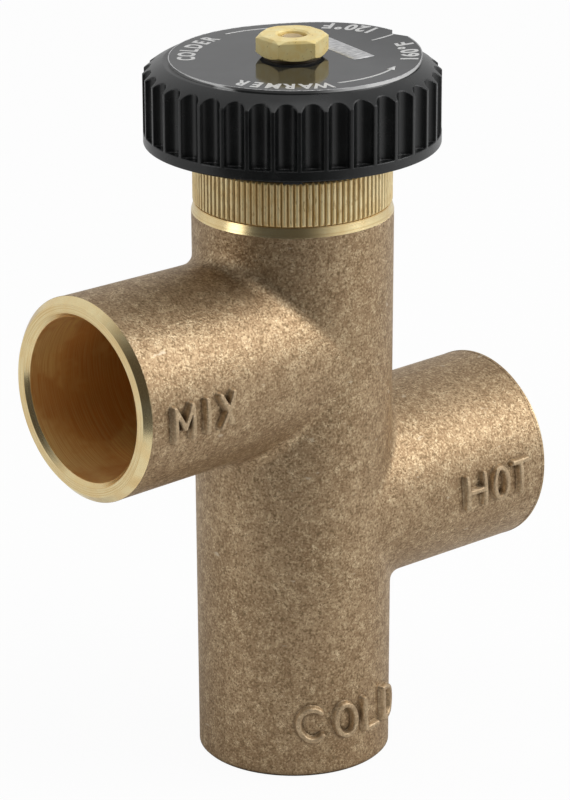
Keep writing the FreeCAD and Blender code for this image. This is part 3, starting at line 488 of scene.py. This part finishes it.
# Each letter's strokes from its lower left (0, 0) to its upper right (1, 1), with how proud each stands
LETTERS = {
    "M": [(1.0, [(0, 0), (0, 1), (0.5, 0.36), (1, 1), (1, 0)])],
    "I": [(1.0, [(0.5, 0), (0.5, 1)])],
    "X": [(1.0, [(0, 1), (0.5, 0.5)]), (0.35, [(0.5, 0.5), (1, 0)]), (1.0, [(0, 0), (1, 1)])],
    "H": [(1.0, [(0, 0), (0, 1)]), (1.0, [(1, 0), (1, 1)]), (1.0, [(0, 0.5), (1, 0.5)])],
    "O": [(1.0, arc((0.5, 0.5), (0.5, 0.5), 0, 360))],
    "T": [(1.0, [(0, 1), (1, 1)]), (1.0, [(0.5, 1), (0.5, 0)])],
    "C": [(1.0, arc((0.5, 0.5), (0.5, 0.5), 48, 312))],
    "L": [(1.0, [(0, 1), (0, 0), (1, 0)])],
    "D": [(1.0, [(0.3, 0), (0, 0), (0, 1), (0.3, 1)]), (1.0, arc((0.3, 0.5), (0.7, 0.5), -90, 90))],
}


def distance_to_stroke(points, stroke):
    """How far each point is from a stroke's line."""
    best = np.full(len(points), np.inf)
    corners = np.array(stroke, float)
    for a, b in zip(corners[:-1], corners[1:]):
        run = b - a
        share = np.clip(((points - a) @ run) / (run @ run), 0.0, 1.0)
        best = np.minimum(best, np.linalg.norm(points - a - share[:, None] * run, axis=1))
    return best


def smooth_step(values):
    t = np.clip(values, 0.0, 1.0)
    return t * t * (3.0 - 2.0 * t)


def letter_heights(points, strokes):
    """How far the letter stands out at each point, and how far the point is from any stroke."""
    heights, nearest = np.zeros(len(points)), np.full(len(points), np.inf)
    for proud, stroke in strokes:
        distance = distance_to_stroke(points, stroke)
        slope = (0.5 * LETTER_FOOT_WIDTH - distance) / (0.5 * (LETTER_FOOT_WIDTH - LETTER_TOP_WIDTH))
        heights = np.maximum(heights, proud * LETTER_PROUD * smooth_step(slope))
        nearest = np.minimum(nearest, distance)
    return heights, nearest


def raised_letter(name, letter, left, width, foot, height, line_at, casting, material):
    """One letter as a low ridge: a closed skin that follows the casting, with its back inside it."""
    lean = LETTER_LEAN * height
    strokes = [
        (proud, [(left + u * width + lean * (v - 0.5), foot + v * height) for u, v in stroke])
        for proud, stroke in LETTERS[letter]
    ]
    margin = 0.5 * LETTER_FOOT_WIDTH + LETTER_SKIRT
    columns = np.arange(left - margin + min(lean, 0), left + width + margin + abs(lean), LETTER_GRID)
    rows = np.arange(foot - margin, foot + height + margin, LETTER_GRID)
    grid = np.array([(u, v) for v in rows for u in columns])
    heights, nearest = letter_heights(grid, strokes)
    kept = nearest < margin
    dip = LETTER_SKIRT * smooth_step((nearest - 0.5 * LETTER_FOOT_WIDTH) / LETTER_SKIRT)

    wide = len(columns)
    faces, number, vertices = [], {}, []
    for row in range(len(rows) - 1):
        for column in range(wide - 1):
            corner = row * wide + column
            square = (corner, corner + 1, corner + wide + 1, corner + wide)
            if all(kept[i] for i in square):
                faces.append(square)
    used = sorted({i for face in faces for i in face})
    for i in used:
        start, outward = line_at(*grid[i])
        hit = casting.ray_cast(start + outward * RAY_START, -outward)[0]
        number[i] = len(vertices)
        vertices.append(hit + outward * float(heights[i] - dip[i]))
        vertices.append(hit - outward * LETTER_SINK)
    skin = [tuple(number[i] for i in face) for face in faces]
    back = [tuple(number[i] + 1 for i in reversed(face)) for face in faces]
    sides = [(b, a, a + 1, b + 1) for a, b in rim_edges(skin)]
    return mesh_piece(name, vertices, skin + back + sides, "housing", material)


def rim_edges(faces):
    """The directed edges that only one face has."""
    edges = {(f[i], f[(i + 1) % len(f)]) for f in faces for i in range(len(f))}
    return sorted(e for e in edges if (e[1], e[0]) not in edges)


def around_branch(axis_height, radius):
    """Lines for letters on a level branch: along it is +X, and up is round it from the front."""
    def line_at(along, up):
        angle = up / radius
        return Vector((along, 0.0, axis_height)), Vector((0.0, -math.cos(angle), math.sin(angle)))
    return line_at


def around_column(radius):
    """Lines for letters on the column: along is round it, and up is +Z."""
    def line_at(along, up):
        angle = along / radius
        return Vector((0.0, 0.0, up)), Vector((math.cos(angle), math.sin(angle), 0.0))
    return line_at


def cast_letters(material):
    """HOT and MIX on their branches and COLD round the foot: letter, left edge and width in millimetres."""
    casting = surface_of("valve_body")
    heights = {m["name"]: m["pos_m"][2] for m in frame["record"]["mounts"]}
    mix_line = around_branch(heights["mix_port"], 14.1 * MM)
    hot_line = around_branch(heights["hot_port"], 13.9 * MM)
    words = {
        "mix": (mix_line, -2.9, 4.5, [("M", -32.85, 3.0), ("I", -27.6, 0.6), ("X", -24.95, 2.3)]),
        "hot": (hot_line, -2.25, 4.5, [("H", 20.15, 3.25), ("O", 25.25, 2.5), ("T", 29.1, 2.6)]),
        "cold": (around_column(13.7 * MM), 5.6, 4.6,
                 [("C", 55.25, 3.9), ("O", 60.65, 3.1), ("L", 65.5, 2.6), ("D", 69.9, 2.6)]),
    }
    for word, (line_at, foot, height, letters) in words.items():
        for letter, left, width in letters:
            name = f"cast_letter_{word}_{letter.lower()}"
            left, width = left * MM, width * MM
            raised_letter(name, letter, left, width, foot * MM, height * MM, line_at, casting, material)


# ---------------------------------------------------------------- mouths

def mouth_ring(mount, stand_out, casting, material):
    """A branch's machined mouth, fitted over the frame's: wide chamfers outside and inside."""
    centre, axis = Vector(mount["pos_m"]), Vector([float(x) for x in mount["axis"]])
    side = Vector((0.0, 1.0, 0.0))
    over = axis.cross(side)
    start = centre - axis * RING_LAP
    wall = (casting.ray_cast(start + side, -side)[0] - start).length + RING_PROUD
    bore = mount["dims"]["r_mm"] * MM - 0.01 * MM
    profile = [
        (bore, -RING_LAP), (wall - RING_BACK_INSET, -RING_BACK_DEPTH), (wall, -RING_LAP),
        (wall, stand_out - RING_CHAMFER), (wall - RING_CHAMFER, stand_out),
        (bore + RING_LEAD_IN, stand_out), (bore, stand_out - RING_LEAD_IN),
    ]
    vertices, faces, count = [], [], len(profile)
    for i in range(RING_STEPS):
        angle = 2.0 * math.pi * i / RING_STEPS
        out = side * math.cos(angle) + over * math.sin(angle)
        vertices += [centre + out * radius + axis * along for radius, along in profile]
    for i in range(RING_STEPS):
        here, ahead = i * count, (i + 1) % RING_STEPS * count
        for k in range(count):
            nxt = (k + 1) % count
            faces.append((here + k, ahead + k, ahead + nxt, here + nxt))
    name = mount["name"].replace("_port", "_mouth_ring")
    ring = mesh_piece(name, vertices, faces, "housing", material)
    ring.data.set_sharp_from_angle(angle=math.radians(RING_SHARP_DEG))
    return ring


def mouth_rings(material):
    casting = surface_of("valve_body")
    for mount in frame["record"]["mounts"]:
        if mount["name"] in MOUTH_RINGS:
            mouth_ring(mount, MOUTH_RINGS[mount["name"]], casting, material)


# ---------------------------------------------------------------- dial print

def dial_centre():
    low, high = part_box("dial_plate")
    return Vector(((low.x + high.x) / 2, (low.y + high.y) / 2, high.z))


def laid_on_dial(name, vertices, faces, material, dial):
    """A thin printed piece: vertices are (x, y, height above the print's middle) on the dial."""
    laid = []
    for x, y, rise in vertices:
        hit = dial.ray_cast(Vector((x, y, 1.0)), Vector((0.0, 0.0, -1.0)))[0]
        laid.append(Vector((x, y, hit.z + PRINT_PROUD - PRINT_HALF_THICKNESS + rise)))
    return mesh_piece(name, laid, faces, "knob_assembly", material)


def glyph(character, height, weight):
    """A character's mesh, centred across, standing on its foot, as vertices and faces."""
    curve = bpy.data.curves.new("glyph", "FONT")
    curve.body = character
    curve.align_x = "CENTER"
    curve.offset = weight
    curve.extrude = 1.0
    curve.resolution_u = 4
    holder = bpy.data.objects.new("glyph", curve)
    bpy.context.scene.collection.objects.link(holder)
    bpy.context.view_layer.update()
    mesh = bpy.data.meshes.new_from_object(holder)
    scale = height / CAP_HEIGHT
    vertices = [
        (v.co.x * scale, v.co.y * scale, math.copysign(PRINT_HALF_THICKNESS, v.co.z))
        for v in mesh.vertices
    ]
    faces = [tuple(p.vertices) for p in mesh.polygons]
    bpy.data.objects.remove(holder)
    bpy.data.curves.remove(curve)
    bpy.data.meshes.remove(mesh)
    return vertices, faces


def arc_text(name, text, from_deg, to_deg, radius, height, stretch, inward, material, dial):
    """Letters set evenly round the dial from one angle to another, their tops outward or inward."""
    centre = dial_centre()
    vertices, faces = [], []
    for i, character in enumerate(text):
        angle = math.radians(from_deg + (to_deg - from_deg) * i / (len(text) - 1))
        out = Vector((math.cos(angle), math.sin(angle), 0.0))
        up = -out if inward else out
        right = Vector((up.y, -up.x, 0.0))
        foot = centre + out * radius - up * (height / 2)
        start = len(vertices)
        points, polygons = glyph(character, height, PRINT_WEIGHT)
        for x, y, rise in points:
            place = foot + right * (x * stretch) + up * y
            vertices.append((place.x, place.y, rise))
        faces.extend(tuple(start + k for k in polygon) for polygon in polygons)
    return laid_on_dial(name, vertices, faces, material, dial)


def ribbon(name, line, widths, material, dial):
    """A printed line: its centre points on the dial and its width at each."""
    vertices, faces = [], []
    for i, (point, width) in enumerate(zip(line, widths)):
        ahead = line[min(i + 1, len(line) - 1)] - line[max(i - 1, 0)]
        side = Vector((-ahead.y, ahead.x)).normalized() * (width / 2)
        for rise in (PRINT_HALF_THICKNESS, -PRINT_HALF_THICKNESS):
            for sign in (1, -1):
                vertices.append((point.x + sign * side.x, point.y + sign * side.y, rise))
    for i in range(len(line) - 1):
        a, b = 4 * i, 4 * (i + 1)
        faces += [(a, a + 1, b + 1, b), (a + 2, b + 2, b + 3, a + 3)]
        faces += [(a, b, b + 2, a + 2), (a + 1, a + 3, b + 3, b + 1)]
    last = 4 * (len(line) - 1)
    faces += [(0, 2, 3, 1), (last, last + 1, last + 3, last + 2)]
    return laid_on_dial(name, vertices, faces, material, dial)


def on_dial(radius, degrees):
    centre = dial_centre()
    angle = math.radians(degrees)
    return Vector((centre.x + radius * math.cos(angle), centre.y + radius * math.sin(angle)))


def arrow(name, from_deg, to_deg, radius, material, dial):
    """A thin arc that ends in an arrow head."""
    steps = 24
    head = 1.6 * MM / radius * 180.0 / math.pi * (1 if to_deg > from_deg else -1)
    shaft = [on_dial(radius, from_deg + (to_deg - head - from_deg) * i / steps) for i in range(steps + 1)]
    line = shaft + [on_dial(radius, to_deg - head), on_dial(radius, to_deg)]
    line[-3] = on_dial(radius, to_deg - head * 1.02)
    widths = [PRINT_LINE_WIDTH] * (steps + 1) + [1.1 * MM, 0.02 * MM]
    return ribbon(name, line, widths, material, dial)


def bare_panel(material, dial):
    """The blank metal panel beside the nut, square to the dial's symmetry line."""
    turn = math.radians(DIAL_SYMMETRY_DEG)
    out = Vector((math.cos(turn), math.sin(turn)))
    along = Vector((-out.y, out.x))
    middle, half_length, width, steps = 7.6 * MM, 6.0 * MM, 3.2 * MM, 12
    line = [out * middle + along * (half_length * (2 * i / steps - 1)) for i in range(steps + 1)]
    return ribbon("dial_bare_panel", line, [width] * (steps + 1), material, dial)


def dial_rim(material, dial):
    """The bright burr along the dial's cut edge, from one side of the notch round to the other."""
    steps, sides = 180, 8
    low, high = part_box("dial_plate")
    radius = (high.y - low.y) / 2 - RIM_WIRE_RADIUS
    from_deg, to_deg = NOTCH_DEG
    vertices, faces = [], []
    for i in range(steps + 1):
        degrees = to_deg + (from_deg + 360.0 - to_deg) * i / steps
        place = on_dial(radius, degrees)
        out = (place - on_dial(0.0, 0.0)).normalized()
        top = dial.ray_cast(Vector((place.x, place.y, 1.0)), Vector((0.0, 0.0, -1.0)))[0].z
        for k in range(sides):
            turn = 2.0 * math.pi * k / sides
            flat = place + out * (RIM_WIRE_RADIUS * math.cos(turn))
            vertices.append((flat.x, flat.y, top + RIM_WIRE_RADIUS * (math.sin(turn) - RIM_WIRE_SUNK)))
    for i in range(steps):
        for k in range(sides):
            a, b = i * sides + k, i * sides + (k + 1) % sides
            faces.append((a, b, b + sides, a + sides))
    faces.append(tuple(reversed(range(sides))))
    faces.append(tuple(range(steps * sides, (steps + 1) * sides)))
    return mesh_piece("dial_rim", vertices, faces, "knob_assembly", material)


def dial_print():
    """The scale's words, numbers, arrows and index line."""
    dial = surface_of("dial_plate")
    ink = print_finish()
    texts = {
        "print_warmer": ("WARMER", 242.4, 200.5, PRINT_RADIUS - 0.4 * MM, 0.80, False),
        "print_colder": ("COLDER", 142.5, 101.0, PRINT_RADIUS - 0.7 * MM, 0.80, False),
        "print_120": ("120°F", 6.0, 31.0, PRINT_RADIUS, 0.95, True),
        "print_160": ("160°F", 310.5, 335.5, PRINT_RADIUS, 0.95, True),
    }
    for name, (text, from_deg, to_deg, radius, stretch, inward) in texts.items():
        arc_text(name, text, from_deg, to_deg, radius, PRINT_TALL, stretch, inward, ink, dial)
    arrow("print_arrow_warmer", 251.2, 297.0, 14.2 * MM, ink, dial)
    arrow("print_arrow_colder", 88.0, 45.0, 14.9 * MM, ink, dial)
    ribbon("print_index_line", [on_dial(r * MM, 352.3) for r in (12.4, 13.6, 14.8, 15.9)],
           [PRINT_LINE_WIDTH] * 4, ink, dial)
    metal = bare_panel_finish()
    bare_panel(metal, dial)
    dial_rim(metal, dial)


# ---------------------------------------------------------------- studio

def direction(azimuth_deg, elevation_deg):
    azimuth, elevation = math.radians(azimuth_deg), math.radians(elevation_deg)
    flat = math.cos(elevation)
    return Vector((math.sin(azimuth) * flat, -math.cos(azimuth) * flat, math.sin(elevation)))


def make_camera():
    back = direction(CAMERA_AZIMUTH_DEG, CAMERA_ELEVATION_DEG)
    azimuth, roll = math.radians(CAMERA_AZIMUTH_DEG), math.radians(CAMERA_ROLL_DEG)
    right = Vector((math.cos(azimuth), math.sin(azimuth), 0.0))
    up = back.cross(right)
    axes = Matrix((
        right * math.cos(roll) + up * math.sin(roll),
        up * math.cos(roll) - right * math.sin(roll),
        back,
    )).transposed()
    target = right * CAMERA_AIM_RIGHT + Vector((0.0, 0.0, CAMERA_AIM_HEIGHT))
    data = bpy.data.cameras.new("camera")
    data.lens = CAMERA_LENS
    data.sensor_width = CAMERA_SENSOR
    camera = bpy.data.objects.new("camera", data)
    camera.matrix_world = Matrix.Translation(target + back * CAMERA_DISTANCE) @ axes.to_4x4()
    bpy.context.scene.collection.objects.link(camera)
    bpy.context.scene.camera = camera


def make_soft_boxes():
    """Large area lamps aimed at the object's middle; the power follows from how bright each one looks."""
    middle = (cad_box[0] + cad_box[1]) / 2
    for name, (azimuth, elevation, distance, size, brightness) in SOFT_BOXES.items():
        towards = direction(azimuth, elevation)
        data = bpy.data.lights.new(name, "AREA")
        data.shape = "RECTANGLE"
        data.size, data.size_y = size
        data.energy = brightness * math.pi * size[0] * size[1]
        lamp = bpy.data.objects.new(name, data)
        lamp.location = middle + towards * distance
        lamp.rotation_mode = "QUATERNION"
        lamp.rotation_quaternion = towards.to_track_quat("Z", "Y")
        bpy.context.scene.collection.objects.link(lamp)


def make_studio():
    """White behind the object; the light that falls on it comes from a pale studio with a dark front."""
    world = bpy.data.worlds.new("studio")
    world.use_nodes = True
    bpy.context.scene.world = world
    tree = world.node_tree
    background = tree.nodes["Background"]
    place = tree.nodes.new("ShaderNodeTexCoord")
    facing = tree.nodes.new("ShaderNodeVectorMath")
    facing.operation = "DOT_PRODUCT"
    facing.inputs[1].default_value = direction(STUDIO_DARK_AZIMUTH_DEG, 0.0)
    level = tree.nodes.new("ShaderNodeMapRange")
    level.interpolation_type = "SMOOTHSTEP"
    pale, dark = STUDIO_DARK_SPREAD
    ends = {"From Min": pale, "From Max": dark, "To Min": STUDIO_LIGHT, "To Max": STUDIO_DARK}
    for name, value in ends.items():
        level.inputs[name].default_value = value
    path = tree.nodes.new("ShaderNodeLightPath")
    white = tree.nodes.new("ShaderNodeMath")
    white.operation = "MAXIMUM"
    tree.links.new(place.outputs["Generated"], facing.inputs[0])
    tree.links.new(facing.outputs["Value"], level.inputs["Value"])
    tree.links.new(level.outputs[0], white.inputs[0])
    tree.links.new(path.outputs["Is Camera Ray"], white.inputs[1])
    tree.links.new(white.outputs[0], background.inputs["Strength"])
    background.inputs["Color"].default_value = (1.0, 1.0, 1.0, 1.0)


def make_floor():
    """A plain pale floor: nearly white to the camera, with the object's own soft shadow."""
    material = bpy.data.materials.new("floor")
    material.use_nodes = True
    tree = material.node_tree
    shader = tree.nodes["Principled BSDF"]
    shader.inputs["Base Color"].default_value = (0.80, 0.80, 0.80, 1.0)
    shader.inputs["Roughness"].default_value = 0.9
    white = tree.nodes.new("ShaderNodeEmission")
    path = tree.nodes.new("ShaderNodeLightPath")
    share = tree.nodes.new("ShaderNodeMath")
    share.operation = "MULTIPLY"
    share.inputs[1].default_value = FLOOR_WHITE_SHARE
    mixed = tree.nodes.new("ShaderNodeMixShader")
    tree.links.new(path.outputs["Is Camera Ray"], share.inputs[0])
    tree.links.new(share.outputs[0], mixed.inputs[0])
    tree.links.new(shader.outputs[0], mixed.inputs[1])
    tree.links.new(white.outputs[0], mixed.inputs[2])
    tree.links.new(mixed.outputs[0], tree.nodes["Material Output"].inputs["Surface"])
    mesh = bpy.data.meshes.new("floor")
    front, half = -FLOOR_FRONT, FLOOR_HALF
    corners = [(-half, front, 0), (half, front, 0), (half, half, 0), (-half, half, 0)]
    mesh.from_pydata(corners, [], [(0, 1, 2, 3)])
    floor = bpy.data.objects.new("floor", mesh)
    floor.location.z = cad_box[0].z
    floor.rotation_euler.z = math.radians(CAMERA_AZIMUTH_DEG)
    mesh.materials.append(material)
    bpy.context.scene.collection.objects.link(floor)


# ---------------------------------------------------------------- the whole scene

bpy.context.scene.view_settings.view_transform = "Standard"
make_camera()
make_soft_boxes()
make_studio()
make_floor()
finishes = dress_frame()
mouth_rings(finishes["cast_bronze"])
cast_letters(cast_bronze("letter_bronze", LETTERS_RUBBED_AND_LIT))
dial_print()
